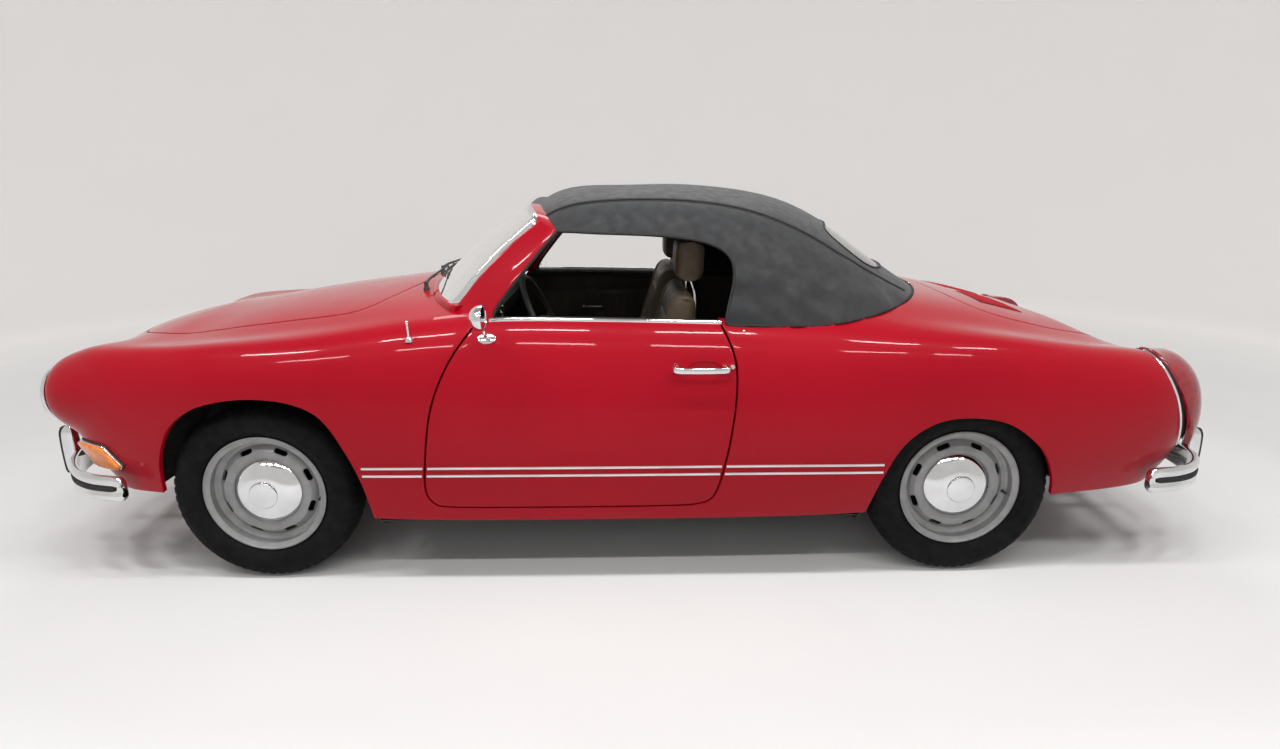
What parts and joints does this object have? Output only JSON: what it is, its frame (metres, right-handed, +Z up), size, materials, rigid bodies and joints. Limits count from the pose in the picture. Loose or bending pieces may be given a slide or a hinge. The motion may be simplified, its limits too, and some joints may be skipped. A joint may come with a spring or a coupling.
{
  "type": "convertible car",
  "caption": "Small two-door convertible car with a rounded body, a folded-up soft top, chrome bumpers, a front luggage lid and a rear engine lid.",
  "frame": {"origin": "on the ground, under the middle of the overall bounding box", "axes": "-X is the front of the car, +X the rear, -Y the left (driver's) side, +Z up"},
  "size_m": [4.19, 1.804, 1.3353],
  "materials": {
    "body_paint": "gloss",
    "trim_chrome": "polished",
    "clear_glass": "clear",
    "rear_light_film": "clear",
    "top_cloth": "matt grained",
    "seat_leather": "satin",
    "black_trim": "matt",
    "amber_lens": "clear gloss",
    "red_lens": "clear gloss",
    "lamp_glass": "polished",
    "tyre_rubber": "matt",
    "wheel_paint": "satin",
    "chassis_black": "satin",
    "floor_black": "matt",
    "case_metal": "cast",
    "engine_metal": "cast",
    "silencer_steel": "dull"
  },
  "bodies": {
    "car_body": {"front_body": "body_paint", "rear_body": "body_paint", "sills": "body_paint", "wheel_houses": "floor_black", "floor_pan": "floor_black", "front_trunk": "body_paint", "windscreen_frame": "body_paint", "windscreen_glass": "clear_glass", "soft_top": "top_cloth", "roof_bows": "black_trim", "rear_window": "rear_light_film", "dashboard": "black_trim", "steering_column": "black_trim", "front_seats": "seat_leather", "headrests": "seat_leather", "rear_seat": "seat_leather", "levers_and_pedals": "black_trim", "wipers": "black_trim", "antenna": "trim_chrome", "front_bumper": "trim_chrome", "rear_bumper": "trim_chrome", "headlamps": "lamp_glass", "turn_signals": "amber_lens", "tail_lights": "red_lens", "front_axle": "chassis_black", "rear_axle": "chassis_black", "gearbox": "case_metal", "engine": "engine_metal", "exhaust": "silencer_steel"},
    "hood": {"hood": "body_paint"},
    "engine_lid": {"engine_lid": "body_paint"},
    "door_left": {"door_left": "body_paint", "door_mirror_left": "trim_chrome", "door_handle_left": "trim_chrome"},
    "door_right": {"door_right": "body_paint", "door_mirror_right": "trim_chrome", "door_handle_right": "trim_chrome"},
    "steering_wheel": {"steering_wheel": "black_trim"},
    "knuckle_left": {"knuckle_left": "chassis_black"},
    "knuckle_right": {"knuckle_right": "chassis_black"},
    "road_wheel_front_left": {"tyre_front_left": "tyre_rubber", "wheel_front_left": "wheel_paint", "hub_cap_front_left": "trim_chrome"},
    "road_wheel_front_right": {"tyre_front_right": "tyre_rubber", "wheel_front_right": "wheel_paint", "hub_cap_front_right": "trim_chrome"},
    "road_wheel_rear_left": {"tyre_rear_left": "tyre_rubber", "wheel_rear_left": "wheel_paint", "hub_cap_rear_left": "trim_chrome"},
    "road_wheel_rear_right": {"tyre_rear_right": "tyre_rubber", "wheel_rear_right": "wheel_paint", "hub_cap_rear_right": "trim_chrome"}
  },
  "joints": [
    {"name": "hood_hinge", "type": "hinge", "parent": "car_body", "child": "hood", "pos_m": [-0.82, 0, 0.97], "axis": [0, 1, 0], "range_deg": [0, 55]},
    {"name": "engine_lid_hinge", "type": "hinge", "parent": "car_body", "child": "engine_lid", "pos_m": [1.198, 0, 0.932], "axis": [0, 1, 0], "range_deg": [-50, 0]},
    {"name": "door_left_hinge", "type": "hinge", "parent": "car_body", "child": "door_left", "pos_m": [-0.703, -0.824, 0.6], "axis": [0, 0, 1], "range_deg": [-65, 0]},
    {"name": "door_right_hinge", "type": "hinge", "parent": "car_body", "child": "door_right", "pos_m": [-0.703, 0.824, 0.6], "axis": [0, 0, 1], "range_deg": [0, 65]},
    {"name": "steer_left", "type": "hinge", "parent": "car_body", "child": "knuckle_left", "pos_m": [-1.275, -0.575, 0.315], "axis": [0, 0, 1], "range_deg": [-30, 30]},
    {"name": "steer_right", "type": "hinge", "parent": "car_body", "child": "knuckle_right", "pos_m": [-1.275, 0.575, 0.315], "axis": [0, 0, 1], "range_deg": [-30, 30]},
    {"name": "steering_wheel_turn", "type": "hinge", "parent": "car_body", "child": "steering_wheel", "pos_m": [-0.336, -0.365, 0.832], "axis": [0.9063, 0, 0.4226], "range_deg": [-450, 450]},
    {"name": "roll_front_left", "type": "hinge", "parent": "knuckle_left", "child": "road_wheel_front_left", "pos_m": [-1.275, -0.655, 0.315], "axis": [0, 1, 0], "continuous": true},
    {"name": "roll_front_right", "type": "hinge", "parent": "knuckle_right", "child": "road_wheel_front_right", "pos_m": [-1.275, 0.655, 0.315], "axis": [0, 1, 0], "continuous": true},
    {"name": "roll_rear_left", "type": "hinge", "parent": "car_body", "child": "road_wheel_rear_left", "pos_m": [1.125, -0.673, 0.315], "axis": [0, 1, 0], "continuous": true},
    {"name": "roll_rear_right", "type": "hinge", "parent": "car_body", "child": "road_wheel_rear_right", "pos_m": [1.125, 0.673, 0.315], "axis": [0, 1, 0], "continuous": true}
  ],
  "couplings": [
    {"joint": "steer_right", "follows": "steer_left", "ratio": 1},
    {"joint": "steering_wheel_turn", "follows": "steer_left", "ratio": 15}
  ]
}
